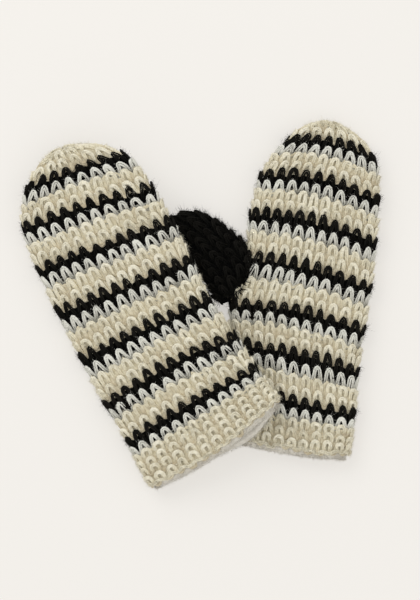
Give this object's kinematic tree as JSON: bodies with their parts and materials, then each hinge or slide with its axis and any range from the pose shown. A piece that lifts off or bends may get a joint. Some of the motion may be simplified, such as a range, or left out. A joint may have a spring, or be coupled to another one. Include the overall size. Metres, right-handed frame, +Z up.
{
  "type": "pair of lined knitted mittens",
  "caption": "Pair of lined, striped, hand-knitted wool mittens lying flat, one across the other, with folding finger ends and separate thumbs.",
  "frame": {"origin": "centre of the pair's outline, on the surface they lie on", "axes": "+Z up from the surface, +Y towards the fingertips, +X towards the right-hand mitten"},
  "size_m": [0.2843, 0.2953, 0.0491],
  "materials": {
    "cream_wool": "matt hand-knitted wool",
    "light_grey_wool": "matt hand-knitted wool",
    "black_wool": "matt hand-knitted wool",
    "cream_edge_wool": "matt wool edge",
    "fleece_lining": "brushed fleece"
  },
  "bodies": {
    "left_hand": {"left_black_stripe_1": "black_wool", "left_black_stripe_2": "black_wool", "left_black_stripe_3": "black_wool", "left_black_stripe_4": "black_wool", "left_cast_on_edge": "cream_edge_wool", "left_cream_band_1": "cream_wool", "left_cream_band_2": "cream_wool", "left_cream_band_3": "cream_wool", "left_cream_band_4": "cream_wool", "left_cuff_cream_band": "cream_wool", "left_grey_stripe_1": "light_grey_wool", "left_grey_stripe_2": "light_grey_wool", "left_grey_stripe_3": "light_grey_wool", "left_grey_stripe_4": "light_grey_wool", "left_palm_lining": "fleece_lining"},
    "left_fingers": {"left_black_stripe_5": "black_wool", "left_black_stripe_6": "black_wool", "left_black_stripe_7": "black_wool", "left_cream_band_5": "cream_wool", "left_cream_band_6": "cream_wool", "left_finger_lining": "fleece_lining", "left_grey_stripe_5": "light_grey_wool", "left_grey_stripe_6": "light_grey_wool", "left_grey_stripe_7": "light_grey_wool", "left_tip_cream_band": "cream_wool", "left_tip_gather": "cream_edge_wool"},
    "left_thumb": {"left_thumb_knit": "black_wool", "left_thumb_lining": "fleece_lining"},
    "right_hand": {"right_black_stripe_1": "black_wool", "right_black_stripe_2": "black_wool", "right_black_stripe_3": "black_wool", "right_black_stripe_4": "black_wool", "right_cast_on_edge": "cream_edge_wool", "right_cream_band_1": "cream_wool", "right_cream_band_2": "cream_wool", "right_cream_band_3": "cream_wool", "right_cream_band_4": "cream_wool", "right_cuff_cream_band": "cream_wool", "right_grey_stripe_1": "light_grey_wool", "right_grey_stripe_2": "light_grey_wool", "right_grey_stripe_3": "light_grey_wool", "right_grey_stripe_4": "light_grey_wool", "right_palm_lining": "fleece_lining"},
    "right_fingers": {"right_black_stripe_5": "black_wool", "right_black_stripe_6": "black_wool", "right_black_stripe_7": "black_wool", "right_cream_band_5": "cream_wool", "right_cream_band_6": "cream_wool", "right_finger_lining": "fleece_lining", "right_grey_stripe_5": "light_grey_wool", "right_grey_stripe_6": "light_grey_wool", "right_grey_stripe_7": "light_grey_wool", "right_tip_cream_band": "cream_wool", "right_tip_gather": "cream_edge_wool"},
    "right_thumb": {"right_thumb_knit": "black_wool", "right_thumb_lining": "fleece_lining"}
  },
  "joints": [
    {"name": "left_mitten_lift", "type": "slide", "parent": "right_hand", "child": "left_hand", "axis": [0, 0, 1], "range_m": [0, 0.15]},
    {"name": "right_thumb_swing", "type": "hinge", "parent": "right_hand", "child": "right_thumb", "pos_m": [0.02309, 0.02636, 0.01], "axis": [0, 0, -1], "range_deg": [0, 15]},
    {"name": "right_finger_fold", "type": "hinge", "parent": "right_hand", "child": "right_fingers", "pos_m": [0.08853, 0.04674, 0.02], "axis": [0.9718, -0.2359, 0], "range_deg": [0, 90]},
    {"name": "left_finger_fold", "type": "hinge", "parent": "left_hand", "child": "left_fingers", "pos_m": [-0.06508, 0.03216, 0.03425], "axis": [0.9017, 0.3493, 0.2546], "range_deg": [0, 90]},
    {"name": "left_thumb_fold", "type": "hinge", "parent": "left_hand", "child": "left_thumb", "pos_m": [-0.04509, 0.01298, 0.01568], "axis": [-0.869, -0.4238, -0.2554], "range_deg": [0, 80]}
  ]
}
